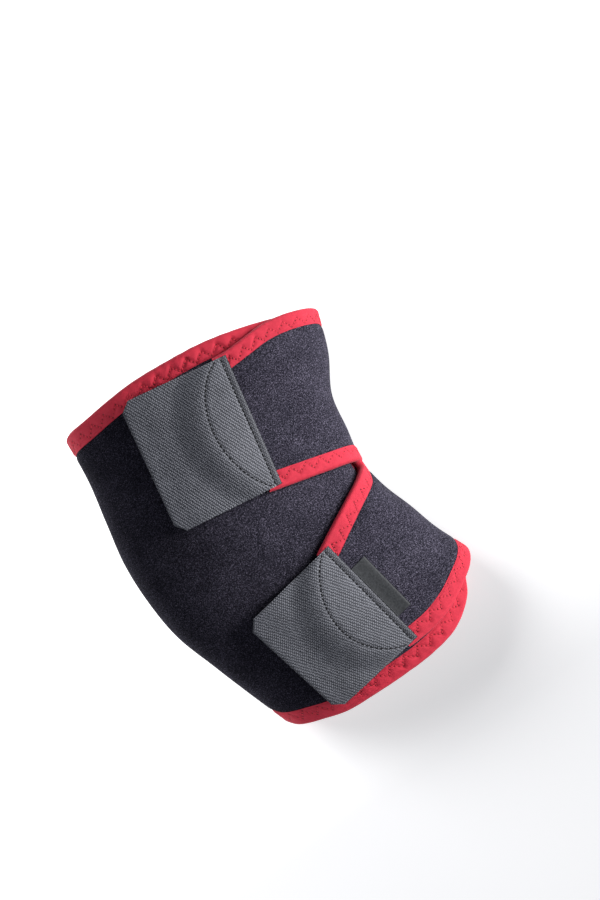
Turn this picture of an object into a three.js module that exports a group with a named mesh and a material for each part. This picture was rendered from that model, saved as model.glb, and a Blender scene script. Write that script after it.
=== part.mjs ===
// Wrap-around elbow brace, lying closed on its far side.
// One die-cut neoprene sheet goes round the arm and ends in two wings, split by a notch at the
// crook of the elbow. Folded tape binds its edges and two hook tabs close it.
// Millimetres. +Z is up, +X points to the crook of the elbow, +Y runs up the arm.
import * as THREE from 'three';
import { mergeVertices } from 'three/addons/utils/BufferGeometryUtils.js';

// Hollow form of the brace
const UPPER_REACH = 87; // elbow to the upper opening, along the back
const FOREARM_REACH = 83; // elbow to the forearm opening, along the back
const BEND_DEPTH = 21.5; // how far the bend carries both openings towards the crook
const ELBOW_WIDTH = 133;
const ELBOW_HEIGHT = 64;
const UPPER_RIM_SWELL = 11.2; // how far each rim reaches past the section at the opening
const FOREARM_RIM_SWELL = 22.5;

// Sheet and trim
const NEOPRENE = 3.5;
const TAPE = 0.6;
const TAPE_LEG = 8.5; // how far the folded tape reaches in from the edge
const TAPE_TUCK_FADE = 4; // length over which the pressed edge comes back to full thickness
const CLEARANCE = 0.3; // between neighbouring pieces
const FACET_ROOM = 0.15; // more of it under the tape, where facets cut across the round sides
const FOLD_ROOM = 0.6; // between the sheet's edge and the fold of the tape
const LAYER_AIR = 0.8; // free space between the bound inner layer and the wings over it
const HOOK_TAPE = 1.4;
const LABEL_RIBBON = 0.6;

// Overlap at the crook, as turns round the sheet: 0 is the crook, 0.5 the back of the elbow
const INNER_END = -0.012;
const LIFT_STARTS = 0.905;
const LIFT_ENDS = 0.975;
const NOTCH_TURN = 1.012;
const NOTCH_STATION = -0.009;
const NOTCH_RADIUS = 3;
const NOTCH_UPPER_ANGLE = 13; // degrees between the arm's crossing line and each notch edge
const NOTCH_LOWER_ANGLE = 24;

// Wing ends under the tabs: a shallow D past the tab's sewn edge
const WING_END_SET = 4;
const WING_END_BELLY = 16;

// Each tab: place of its sewn edge, and its own size. Its free end is narrower by the two insets, and
// longer at the head than at the foot by the skew.
const UPPER_TAB = { name: 'upper_hook_tab', length: 59, width: 74, foot: 0.169, footTurn: 1.1718,
  headTurn: 1.1868, rise: 5, footInset: 1, headInset: 3.5, skew: 2 };
const LOWER_TAB = { name: 'lower_hook_tab', length: 57, width: 68.5, foot: -1.168, footTurn: 1.2056,
  headTurn: 1.1761, rise: -2, footInset: 4.6, headInset: 4.7, skew: 3.7 };
const TAB_CLIP = 5; // cut-off free corners
const TAB_RAMP_FROM = 23; // where a tab steps down from the wing to the layer below
const TAB_RAMP_TO = 37;
const LABEL_LENGTH = 36;
const LABEL_REACH = 9; // how far the label shows beyond the tab
const LABEL_FOOT = 15; // from the tab's lower corner, along its sewn edge

// Facets
const ARC_STEP = 4.5;
const FLAT_STEP = 10;
const ROWS = 8; // bands of the sheet between its middle line and each rim
const ROW_AT_TAPE = TAPE_LEG + 1;
const CURVED_LEG_BANDS = 3; // bands of a tape's leg where it runs round the form's sides

// Cross-sections from the forearm opening (-1) to the upper opening (1): shares of the reach,
// of BEND_DEPTH, of ELBOW_WIDTH, and of ELBOW_HEIGHT for height and corner; tilt in degrees
const SECTIONS = [
  { station: -1.0, bow: 0.965, width: 0.98, height: 0.83, corner: 0.32, tilt: 9.0 },
  { station: -0.75, bow: 0.63, width: 0.978, height: 0.875, corner: 0.344, tilt: 6.3 },
  { station: -0.5, bow: 0.36, width: 0.993, height: 0.938, corner: 0.367, tilt: 3.4 },
  { station: -0.25, bow: 0.085, width: 1.0, height: 0.984, corner: 0.39, tilt: 1.0 },
  { station: 0.0, bow: 0.0, width: 1.0, height: 1.0, corner: 0.398, tilt: -1.7 },
  { station: 0.25, bow: 0.118, width: 1.02, height: 0.992, corner: 0.39, tilt: -3.9 },
  { station: 0.5, bow: 0.33, width: 1.016, height: 0.977, corner: 0.383, tilt: -5.7 },
  { station: 0.75, bow: 0.722, width: 1.066, height: 0.961, corner: 0.375, tilt: -7.4 },
  { station: 1.0, bow: 0.965, width: 1.108, height: 0.938, corner: 0.367, tilt: -9.1 },
];

// Rims of the panel from the crook (0) to the back (0.5), the same on both faces: shares of
// UPPER_RIM_SWELL and of FOREARM_RIM_SWELL. The first and last rows level the curve's ends.
const PANEL_RIMS = [
  { turn: -0.05, upper: 0.48, lower: 0.39 },
  { turn: 0.0, upper: 0.16, lower: 0.02 },
  { turn: 0.05, upper: 0.48, lower: 0.39 },
  { turn: 0.09, upper: 0.72, lower: 0.86 },
  { turn: 0.15, upper: 0.98, lower: 1.15 },
  { turn: 0.21, upper: 1.1, lower: 1.13 },
  { turn: 0.27, upper: 1.02, lower: 0.98 },
  { turn: 0.33, upper: 0.86, lower: 0.8 },
  { turn: 0.385, upper: 0.56, lower: 0.63 },
  { turn: 0.43, upper: 0.29, lower: 0.38 },
  { turn: 0.47, upper: 0.13, lower: 0.17 },
  { turn: 0.5, upper: 0.0, lower: 0.0 },
  { turn: 0.53, upper: 0.13, lower: 0.17 },
];

// Rims of the two wings, past the crook
const WING_RIMS = [
  { turn: 1.0, upper: 0.16, lower: 0.02 },
  { turn: 1.02, upper: 0.36, lower: 0.17 },
  { turn: 1.053, upper: 0.55, lower: 0.4 },
  { turn: 1.085, upper: 0.68, lower: 0.55 },
  { turn: 1.12, upper: 0.66, lower: 0.68 },
  { turn: 1.157, upper: 0.42, lower: 0.735 },
  { turn: 1.19, upper: 0.22, lower: 0.7 },
  { turn: 1.24, upper: 0.2, lower: 0.58 },
];

const UNDER_TAPE = CLEARANCE + FACET_ROOM;
const PINCH = TAPE + UNDER_TAPE; // how far the tape presses the sheet's outer face in
const TAPE_UNDERSIDE = NEOPRENE + UNDER_TAPE;
const LAYER_PITCH = NEOPRENE + PINCH + LAYER_AIR;
const { sin, cos, tan, asin, sqrt, hypot, abs, min, max, PI } = Math;
const radians = THREE.MathUtils.degToRad;

// Smooth curve through one column of a table, carried on straight past its ends
function along(rows, axis, column, at) {
  const last = rows.length - 1;
  let i = rows.findIndex((row) => row[axis] > at) - 1;
  if (i === -2) i = last - 1;
  i = max(i, 0);
  const slope = (k) => {
    const a = rows[max(k - 1, 0)];
    const b = rows[min(k + 1, last)];
    return (b[column] - a[column]) / (b[axis] - a[axis]);
  };
  const [from, to] = [rows[i], rows[i + 1]];
  const span = to[axis] - from[axis];
  const share = (at - from[axis]) / span;
  if (share < 0) return from[column] + share * span * slope(i);
  if (share > 1) return to[column] + (share - 1) * span * slope(i + 1);
  const ease = share * share * (3 - 2 * share);
  const lead = share * (1 - share) * (1 - share) * span * slope(i);
  const trail = share * share * (share - 1) * span * slope(i + 1);
  return from[column] + ease * (to[column] - from[column]) + lead + trail;
}

const reach = (station) => (station > 0 ? UPPER_REACH : FOREARM_REACH);

// One cross-section: a flat floor, a long arc over the top, and rounded sides
function section(station) {
  const value = (column) => along(SECTIONS, 'station', column, station);
  const height = value('height') * ELBOW_HEIGHT;
  const corner = value('corner') * ELBOW_HEIGHT;
  const half = (value('width') * ELBOW_WIDTH) / 2 - corner;
  const crown = (half ** 2 + (height - corner) ** 2 - corner ** 2) / (2 * (height - 2 * corner));
  const spread = asin(half / (crown - corner));
  const side = PI / 2 - spread;
  const pieces = [
    { length: corner * side, x: half, z: corner, radius: corner, start: 0 },
    { length: 2 * crown * spread, x: 0, z: height - crown, radius: crown, start: side },
    { length: corner * (side + PI / 2), x: -half, z: corner, radius: corner, start: PI - side },
    { length: 2 * half, x: -half, z: 0, radius: 0, start: 1.5 * PI },
    { length: (corner * PI) / 2, x: half, z: corner, radius: corner, start: 1.5 * PI },
  ];
  const girth = pieces.reduce((sum, piece) => sum + piece.length, 0);
  const centre = [value('bow') * BEND_DEPTH, station * reach(station)];
  return { pieces, girth, centre, tilt: radians(value('tilt')) };
}

const girthAt = (station) => section(station).girth;
const ELBOW_GIRTH = girthAt(0);

// The layer that ends in the wings climbs over the inner end of the sheet
function layerLift(turn) {
  return LAYER_PITCH * THREE.MathUtils.smoothstep(turn, LIFT_STARTS, LIFT_ENDS);
}

// Point on the sheet's outer face, or out from it along the face's normal
function skin(station, turn, out = 0) {
  const { pieces, girth, centre, tilt } = section(station);
  let travelled = (turn - Math.floor(turn)) * girth;
  let k = 0;
  while (k < pieces.length - 1 && travelled > pieces[k].length) {
    travelled -= pieces[k].length;
    k += 1;
  }
  const piece = pieces[k];
  const angle = piece.start + (piece.radius > 0 ? travelled / piece.radius : 0);
  const across = piece.x + (piece.radius > 0 ? 0 : travelled);
  const radius = piece.radius + out + layerLift(turn);
  const x = across + radius * cos(angle);
  return new THREE.Vector3(
    centre[0] + x * cos(tilt), centre[1] + x * sin(tilt), piece.z + radius * sin(angle),
  );
}

function rimStation(side, turn) {
  const column = side > 0 ? 'upper' : 'lower';
  const swell = side > 0 ? UPPER_RIM_SWELL : FOREARM_RIM_SWELL;
  const share = turn < 1
    ? along(PANEL_RIMS, 'turn', column, min(abs(turn), 1 - turn))
    : along(WING_RIMS, 'turn', column, turn);
  return side * (1 + (share * swell) / reach(side));
}

// Edge of the notch: a small round end, then a straight cut
function notchStation(side, turn) {
  const angle = radians(side > 0 ? NOTCH_UPPER_ANGLE : NOTCH_LOWER_ANGLE);
  const x = (turn - NOTCH_TURN) * ELBOW_GIRTH;
  const straight = NOTCH_RADIUS * (1 - sin(angle));
  let open = 0;
  if (x >= straight) open = NOTCH_RADIUS * cos(angle) + (x - straight) * tan(angle);
  else if (x > 0) open = sqrt(NOTCH_RADIUS ** 2 - (NOTCH_RADIUS - x) ** 2);
  return NOTCH_STATION + (side * open) / reach(side);
}

// How far the bound edges are pressed in under the tape
function tuck(station, turn) {
  const side = station > NOTCH_STATION ? 1 : -1;
  const toRim = abs(rimStation(side, turn) - station) * reach(side);
  const toEnd = (turn - INNER_END) * ELBOW_GIRTH;
  const beforeNotch = max(NOTCH_TURN - turn, 0) * ELBOW_GIRTH;
  const besideNotch = abs(station - notchStation(side, turn)) * reach(side);
  const nearest = min(toRim, toEnd, hypot(beforeNotch, besideNotch));
  const pressed = TAPE_LEG + TAPE_TUCK_FADE;
  return PINCH * (1 - THREE.MathUtils.clamp((nearest - pressed) / TAPE_TUCK_FADE, 0, 1));
}

// Evenly spaced values from one to another, both included
function divide(from, to, count) {
  return Array.from({ length: count + 1 }, (_, i) => from + ((to - from) * i) / count);
}

// Turns of the sheet's columns before the notch, close on the round sides and wide on the flats
function panelTurns() {
  const bound = INNER_END + ROW_AT_TAPE / ELBOW_GIRTH;
  const turns = divide(INNER_END, bound, CURVED_LEG_BANDS);
  let walked = 0;
  for (const { length, radius } of section(0).pieces) {
    walked += length;
    const step = radius > 0 && radius < ELBOW_HEIGHT ? ARC_STEP : FLAT_STEP;
    const goal = min(walked / ELBOW_GIRTH, 1);
    const from = turns.at(-1);
    const count = max(1, Math.round(((goal - from) * ELBOW_GIRTH) / step));
    turns.push(...divide(from, goal, count).slice(1));
  }
  turns.push(NOTCH_TURN);
  return turns;
}

// Shares of a wing's length at which it has columns: the notch's round end, then even bands
function wingShares() {
  const length = (UPPER_TAB.footTurn - NOTCH_TURN) * ELBOW_GIRTH + WING_END_SET;
  const round = [0, 0.12, 0.4, 0.75, 1].map((share) => (share * NOTCH_RADIUS) / length);
  const bands = Math.round((length * (1 - round.at(-1))) / ARC_STEP);
  return [...round, ...divide(round.at(-1), 1, bands).slice(1)];
}

// Turn of a tab's sewn edge at a distance from its lower corner, and the turn of the wing's end
function sewnTurn(tab, distance) {
  return tab.footTurn + ((tab.headTurn - tab.footTurn) * distance) / tab.width;
}

function wingEndTurn(side, share) {
  const tab = side > 0 ? UPPER_TAB : LOWER_TAB;
  const along01 = side > 0 ? share : 1 - share;
  const past = WING_END_SET + WING_END_BELLY * (1 - (2 * share - 1) ** 2);
  return sewnTurn(tab, along01 * tab.width) + past / girthAt(side / 2);
}

// Shares of the way from the sheet's middle line to a rim at which it has rows
function rowShares(side) {
  const width = reach(side) + (side > 0 ? UPPER_RIM_SWELL : FOREARM_RIM_SWELL);
  const inset = ROW_AT_TAPE / width;
  return [0, ...divide(inset, 1 - inset, ROWS - 2), 1];
}

// Half of the sheet, as columns of places on the form. Rows keep their distance from both edges.
function sheetColumns(side) {
  const shares = rowShares(side);
  const inset = shares[1];
  const place = (share, turn) => {
    const from = notchStation(side, turn);
    const to = rimStation(side, turn);
    const width = abs(to - from) * reach(side);
    const edge = ROW_AT_TAPE / width;
    const inner = edge + ((share - inset) / (1 - 2 * inset)) * (1 - 2 * edge);
    const kept = share === 0 || share === 1 ? share : inner;
    return { station: from + (to - from) * kept, turn };
  };
  const panel = panelTurns().map((turn) => shares.map((share) => place(share, turn)));
  const wing = wingShares().slice(1).map((q) => shares.map((share) => (
    place(share, NOTCH_TURN + q * (wingEndTurn(side, share) - NOTCH_TURN))
  )));
  return [...panel, ...wing];
}

// Closed solids are gathered as triangles, then their corners are joined
function gather() {
  const corners = [];
  const triangle = (a, b, c) => corners.push(a.x, a.y, a.z, b.x, b.y, b.z, c.x, c.y, c.z);
  const quad = (a, b, c, d) => {
    triangle(a, b, c);
    triangle(a, c, d);
  };
  const geometry = () => {
    const soup = new THREE.BufferGeometry();
    soup.setAttribute('position', new THREE.Float32BufferAttribute(corners, 3));
    const joined = mergeVertices(soup);
    joined.computeVertexNormals();
    return joined;
  };
  return { quad, geometry };
}

// Wall between the two faces of a thin layer, along a line of matching points
function wall(solid, upper, lower) {
  for (let i = 0; i + 1 < upper.length; i += 1) {
    solid.quad(upper[i], lower[i], lower[i + 1], upper[i + 1]);
  }
}

function faces(solid, outer, inner, flip) {
  for (let c = 0; c + 1 < outer.length; c += 1) {
    for (let r = 0; r + 1 < outer[c].length; r += 1) {
      const ring = (grid) => [grid[c][r], grid[c][r + 1], grid[c + 1][r + 1], grid[c + 1][r]];
      const [front, back] = [ring(outer), ring(inner).reverse()];
      solid.quad(...(flip ? front.reverse() : front));
      solid.quad(...(flip ? back.reverse() : back));
    }
  }
}

function neoprenePanel() {
  const solid = gather();
  const notchColumn = panelTurns().length - 1;
  for (const side of [1, -1]) {
    const columns = sheetColumns(side);
    const lay = (depth) => columns.map((column) => column.map(({ station, turn }) => (
      skin(station, turn, depth(station, turn))
    )));
    const outer = lay((station, turn) => -tuck(station, turn));
    const inner = lay(() => -NEOPRENE);
    faces(solid, outer, inner, side < 0);
    const edges = [
      { of: (grid) => grid.map((column) => column.at(-1)), turned: side < 0 },
      { of: (grid) => grid.slice(notchColumn).map((column) => column[0]), turned: side > 0 },
      { of: (grid) => grid[0], turned: side < 0 },
      { of: (grid) => grid.at(-1), turned: side > 0 },
    ];
    for (const { of, turned } of edges) {
      const [a, b] = [of(outer), of(inner)];
      wall(solid, turned ? b : a, turned ? a : b);
    }
  }
  return solid.geometry();
}

// Tape section as pairs of outer and inner corners: reach in from the edge, and depth below
// the sheet's outer face
function tapeFold(legBands) {
  const back = FOLD_ROOM + TAPE;
  const under = TAPE_UNDERSIDE + TAPE;
  const round = under / 5;
  const reaches = divide(TAPE_LEG, CLEARANCE, legBands);
  const upperLeg = reaches.map((x) => ({ outer: [x, 0], inner: [x, TAPE] }));
  const lowerLeg = reaches.toReversed().map((x) => (
    { outer: [x, under], inner: [x, TAPE_UNDERSIDE] }
  ));
  return [
    ...upperLeg,
    { outer: [-back, round], inner: [-FOLD_ROOM, round] },
    { outer: [-back, under - round], inner: [-FOLD_ROOM, under - round] },
    ...lowerLeg,
  ];
}

// Folded tape: stations along an edge, each with its place and the direction in from the edge
function foldedTape(stations, legBands) {
  const solid = gather();
  const section = tapeFold(legBands);
  const fold = (corner) => stations.map(({ station, turn, inward }) => section.map((pair) => {
    const [distance, depth] = pair[corner];
    const place = station + (inward.station * distance) / reach(station);
    return skin(place, turn + (inward.turn * distance) / ELBOW_GIRTH, -depth);
  }));
  const [outer, inner] = [fold('outer'), fold('inner')];
  faces(solid, outer, inner, false);
  const tips = (grid, row) => grid.map((column) => column.at(row));
  wall(solid, tips(inner, 0), tips(outer, 0));
  wall(solid, tips(outer, -1), tips(inner, -1));
  wall(solid, outer[0], inner[0]);
  wall(solid, inner.at(-1), outer.at(-1));
  return solid.geometry();
}

function rimBinding(side) {
  const stations = sheetColumns(side).map((column) => (
    { ...column.at(-1), inward: { station: -side, turn: 0 } }
  ));
  return foldedTape(side > 0 ? stations : stations.reverse(), 1);
}

// Round the notch from the lower wing's end to the upper wing's
function notchBinding() {
  const notchColumn = panelTurns().length - 1;
  const edge = (side) => sheetColumns(side).slice(notchColumn).map((column) => {
    const { station, turn } = column[0];
    const angle = radians(side > 0 ? NOTCH_UPPER_ANGLE : NOTCH_LOWER_ANGLE);
    const x = (turn - NOTCH_TURN) * ELBOW_GIRTH;
    const lean = max(sin(angle), (NOTCH_RADIUS - x) / NOTCH_RADIUS);
    return { station, turn, inward: { station: side * sqrt(1 - lean ** 2), turn: -lean } };
  });
  const stations = [...edge(1).reverse(), ...edge(-1).slice(1)];
  return foldedTape(stations, CURVED_LEG_BANDS);
}

// Across the hidden inner end, between the two rim tapes
function innerEdgeBinding() {
  const rows = [...sheetColumns(-1)[0].slice(1).reverse(), ...sheetColumns(1)[0]];
  const between = rows.filter(({ station, turn }) => {
    const side = station > NOTCH_STATION ? 1 : -1;
    const toRim = abs(rimStation(side, turn) - station) * reach(side);
    return toRim > TAPE_LEG;
  });
  const stations = between.map((row) => ({ ...row, inward: { station: 0, turn: 1 } }));
  return foldedTape(stations, CURVED_LEG_BANDS);
}

// Place on the form under a point of the plan, found from a near one in a few steps
function settle(x, y, station, turn) {
  const nudge = 1e-3;
  let place = { station, turn };
  for (let step = 0; step < 6; step += 1) {
    const at = skin(place.station, place.turn);
    const byStation = skin(place.station + nudge, place.turn).sub(at).divideScalar(nudge);
    const byTurn = skin(place.station, place.turn + nudge).sub(at).divideScalar(nudge);
    const [dx, dy] = [x - at.x, y - at.y];
    const scale = byStation.x * byTurn.y - byStation.y * byTurn.x;
    place = {
      station: place.station + (dx * byTurn.y - dy * byTurn.x) / scale,
      turn: place.turn + (dy * byStation.x - dx * byStation.y) / scale,
    };
  }
  return place;
}

// Place on a tab or label: run from the sewn edge towards the free end, and distance up it.
// A tab's edges are straight in plan, from its four corners.
function tabPoint(tab, run, distance, out) {
  const corner = (end, up) => {
    const inset = up > 0 ? -tab.headInset : tab.footInset;
    const station = tab.foot + (up * tab.width + end * (tab.rise + inset)) / reach(tab.foot);
    const length = tab.length + (up - 0.5) * tab.skew;
    return { station, turn: sewnTurn(tab, up * tab.width) + (end * length) / girthAt(station) };
  };
  const [end, up] = [run / tab.length, distance / tab.width];
  const blend = (value) => (1 - end) * ((1 - up) * value(corner(0, 0)) + up * value(corner(0, 1)))
    + end * ((1 - up) * value(corner(1, 0)) + up * value(corner(1, 1)));
  const { station, turn } = settle(
    blend((at) => skin(at.station, at.turn).x),
    blend((at) => skin(at.station, at.turn).y),
    blend((at) => at.station),
    blend((at) => at.turn),
  );
  const drop = LAYER_PITCH * THREE.MathUtils.smoothstep(run, TAB_RAMP_FROM, TAB_RAMP_TO);
  return skin(station, turn, CLEARANCE + out - drop);
}

// Thin plate on the form, from a grid of runs and distances
function plate(tab, runs, distancesAt, thickness) {
  const solid = gather();
  const lay = (out) => runs.map((run) => distancesAt(run).map((distance) => (
    tabPoint(tab, run, distance, out)
  )));
  const [outer, inner] = [lay(thickness), lay(0)];
  faces(solid, outer, inner, false);
  const sides = (grid, row) => grid.map((column) => column.at(row));
  wall(solid, sides(inner, 0), sides(outer, 0));
  wall(solid, sides(outer, -1), sides(inner, -1));
  wall(solid, outer[0], inner[0]);
  wall(solid, inner.at(-1), outer.at(-1));
  return solid.geometry();
}

function hookTab(tab) {
  const runs = [...divide(0, tab.length - TAB_CLIP, Math.round(tab.length / ARC_STEP)), tab.length];
  const distancesAt = (run) => {
    const cut = run === tab.length ? TAB_CLIP : 0;
    return divide(cut, tab.width - cut, Math.round(tab.width / FLAT_STEP));
  };
  return plate(tab, runs, distancesAt, HOOK_TAPE);
}

function sideLabel() {
  const runs = divide(-LABEL_REACH - CLEARANCE, -CLEARANCE, 2);
  const distances = divide(LABEL_FOOT, LABEL_FOOT + LABEL_LENGTH, 4);
  return plate(LOWER_TAB, runs, () => distances, LABEL_RIBBON);
}

const neoprene = new THREE.MeshStandardMaterial({ color: 0x1c1b22, roughness: 0.95, metalness: 0 });
const binding = new THREE.MeshStandardMaterial({ color: 0xc92a3c, roughness: 0.8, metalness: 0 });
const hookTape = new THREE.MeshStandardMaterial({ color: 0x55595c, roughness: 0.75, metalness: 0 });
const ribbon = new THREE.MeshStandardMaterial({ color: 0x3a3c3d, roughness: 0.6, metalness: 0 });

const brace = new THREE.Group();
function add(name, geometry, material) {
  const mesh = new THREE.Mesh(geometry, material);
  mesh.name = name;
  brace.add(mesh);
}

add('neoprene_panel', neoprenePanel(), neoprene);
add('upper_rim_binding', rimBinding(1), binding);
add('lower_rim_binding', rimBinding(-1), binding);
add('crook_notch_binding', notchBinding(), binding);
add('inner_edge_binding', innerEdgeBinding(), binding);
add(UPPER_TAB.name, hookTab(UPPER_TAB), hookTape);
add(LOWER_TAB.name, hookTab(LOWER_TAB), hookTape);
add('side_label', sideLabel(), ribbon);

export default brace;
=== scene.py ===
# Wrap-around elbow brace of red-bound neoprene, lying closed on its far side.
from math import cos, pi, radians, sin

import bpy
import numpy as np
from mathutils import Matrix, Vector


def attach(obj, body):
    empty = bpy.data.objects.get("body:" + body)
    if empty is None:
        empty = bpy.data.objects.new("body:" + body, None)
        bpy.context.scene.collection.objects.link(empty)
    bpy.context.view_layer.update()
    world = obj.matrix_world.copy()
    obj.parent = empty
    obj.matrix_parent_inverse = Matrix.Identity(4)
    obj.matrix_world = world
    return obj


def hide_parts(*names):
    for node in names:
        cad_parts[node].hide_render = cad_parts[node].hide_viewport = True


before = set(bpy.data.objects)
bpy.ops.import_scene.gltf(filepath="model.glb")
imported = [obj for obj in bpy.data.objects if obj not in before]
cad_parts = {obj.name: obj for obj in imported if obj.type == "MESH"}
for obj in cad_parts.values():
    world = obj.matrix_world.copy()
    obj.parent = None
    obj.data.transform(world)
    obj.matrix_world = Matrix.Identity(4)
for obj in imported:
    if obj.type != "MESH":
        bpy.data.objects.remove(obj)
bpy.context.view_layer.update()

# Camera
# The photograph looks straight down on the brace from a little over a metre, with the upper opening
# turned to the upper left and the crook of the elbow to the right.
CAMERA_TURN = radians(-35.7)
CAMERA_PLACE = (0.04795, 0.02175, 1.225)
CAMERA_LENS = 88.9

camera_data = bpy.data.cameras.new("camera")
camera_data.lens = CAMERA_LENS
camera_data.sensor_width = 36
camera_data.clip_start = 0.05
camera = bpy.data.objects.new("camera", camera_data)
camera.location = CAMERA_PLACE
camera.rotation_euler = (0, 0, CAMERA_TURN)
bpy.context.collection.objects.link(camera)
bpy.context.scene.camera = camera
bpy.context.scene.view_settings.view_transform = "Standard"

# Neoprene panel
# One die-cut sheet of foam rubber, 3.5 mm thick, faced with a brushed loop knit. It goes round the
# arm, passes over its own hidden inner end at the crook, and ends in two wings split by a notch.
# Sizes of the form are in millimetres, as in the solids, with the same tables.
MM = 0.001
UPPER_REACH = 87.0
FOREARM_REACH = 83.0
BEND_DEPTH = 21.5
ELBOW_WIDTH = 133.0
ELBOW_HEIGHT = 64.0
UPPER_RIM_SWELL = 11.2
FOREARM_RIM_SWELL = 22.5
NEOPRENE = 3.5
TAPE = 0.6
TAPE_LEG = 8.5
PINCH = 1.05
TAPE_UNDERSIDE = 3.95
LAYER_PITCH = 5.35
INNER_END = -0.012
LIFT_STARTS = 0.905
LIFT_ENDS = 0.975
NOTCH_TURN = 1.012
NOTCH_STATION = -0.009
NOTCH_RADIUS = 3.0
NOTCH_UPPER_ANGLE = radians(13)
NOTCH_LOWER_ANGLE = radians(24)
WING_END_SET = 6.5
WING_END_BELLY = 16.0
UPPER_TAB = dict(name="upper_hook_tab", length=59.0, width=74.0, foot=0.169, foot_turn=1.1718,
                 head_turn=1.1868, rise=5.0, foot_inset=1.0, head_inset=3.5, skew=2.0,
                 rib_turn=radians(59), belly=21.0, belly_at=0.536)
LOWER_TAB = dict(name="lower_hook_tab", length=57.0, width=68.5, foot=-1.168, foot_turn=1.2056,
                 head_turn=1.1761, rise=-2.0, foot_inset=4.6, head_inset=4.7, skew=3.7,
                 rib_turn=radians(66), belly=25.0, belly_at=0.45)
PANEL_STEP = 1.6  # of the panel's faces
PANEL_ROWS = 62  # between the middle line and each rim
ROWS_GATHERED = 0.08  # closer rows along the middle line and the rims
WAVE_HEIGHT = 0.35  # soft unevenness of the worn sheet
PILE_GRAIN = 1500.0  # loops of the brushed face, per metre


def columns(names, rows):
    return dict(zip(names.split(), np.array(rows, float).T))


# From the forearm opening to the upper opening: shares of the reach, of BEND_DEPTH, of
# ELBOW_WIDTH, and of ELBOW_HEIGHT for height and corner; tilt in degrees
SECTIONS = columns("station bow width height corner tilt", [
    (-1.0, 0.965, 0.98, 0.83, 0.32, 9.0),
    (-0.75, 0.63, 0.978, 0.875, 0.344, 6.3),
    (-0.5, 0.36, 0.993, 0.938, 0.367, 3.4),
    (-0.25, 0.085, 1.0, 0.984, 0.39, 1.0),
    (0.0, 0.0, 1.0, 1.0, 0.398, -1.7),
    (0.25, 0.118, 1.02, 0.992, 0.39, -3.9),
    (0.5, 0.33, 1.016, 0.977, 0.383, -5.7),
    (0.75, 0.722, 1.066, 0.961, 0.375, -7.4),
    (1.0, 0.965, 1.108, 0.938, 0.367, -9.1),
])
# Rims from the crook (turn 0) to the back (0.5), the same on both faces, as shares of the swells
PANEL_RIMS = columns("turn upper lower", [
    (-0.05, 0.48, 0.39), (0.0, 0.16, 0.02), (0.05, 0.48, 0.39), (0.09, 0.72, 0.86),
    (0.15, 0.98, 1.15), (0.21, 1.1, 1.13), (0.27, 1.02, 0.98), (0.33, 0.86, 0.8),
    (0.385, 0.56, 0.63), (0.43, 0.29, 0.38), (0.47, 0.13, 0.17), (0.5, 0.0, 0.0),
    (0.53, 0.13, 0.17),
])
# Rims of the two wings, past the crook
WING_RIMS = columns("turn upper lower", [
    (1.0, 0.16, 0.02), (1.02, 0.36, 0.17), (1.053, 0.55, 0.4), (1.085, 0.68, 0.55),
    (1.12, 0.66, 0.68), (1.157, 0.42, 0.735), (1.19, 0.22, 0.7), (1.24, 0.2, 0.58),
])


def along(table, axis, column, at):
    """Smooth curve through one column of a table, carried on straight past its ends."""
    x, y = table[axis], table[column]
    rows = np.arange(len(x))
    before, after = np.maximum(rows - 1, 0), np.minimum(rows + 1, len(x) - 1)
    slope = (y[after] - y[before]) / (x[after] - x[before])
    i = np.clip(np.searchsorted(x, at, side="right") - 1, 0, len(x) - 2)
    span = x[i + 1] - x[i]
    share = (at - x[i]) / span
    held = np.clip(share, 0, 1)
    ease = held * held * (3 - 2 * held)
    lead = held * (1 - held) ** 2 * span * slope[i]
    trail = held * held * (held - 1) * span * slope[i + 1]
    past = (share - held) * span * np.where(share < 0, slope[i], slope[i + 1])
    return y[i] + ease * (y[i + 1] - y[i]) + lead + trail + past


def smoothstep(low, high, x):
    share = np.clip((x - low) / (high - low), 0, 1)
    return share * share * (3 - 2 * share)


def reach(station):
    return np.where(station > 0, UPPER_REACH, FOREARM_REACH)


def section(station):
    """Cross-section: corner radius, half the flat floor, crown radius, its half angle, girth."""
    height = along(SECTIONS, "station", "height", station) * ELBOW_HEIGHT
    corner = along(SECTIONS, "station", "corner", station) * ELBOW_HEIGHT
    half = along(SECTIONS, "station", "width", station) * ELBOW_WIDTH / 2 - corner
    crown = (half**2 + (height - corner) ** 2 - corner**2) / (2 * (height - 2 * corner))
    spread = np.arcsin(half / (crown - corner))
    girth = corner * (1.5 * pi + 2 * (pi / 2 - spread) - pi / 2) + 2 * crown * spread + 2 * half
    return height, corner, half, crown, spread, girth


def girth_at(station):
    return float(section(np.array(float(station)))[-1])


ELBOW_GIRTH = girth_at(0)


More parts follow.
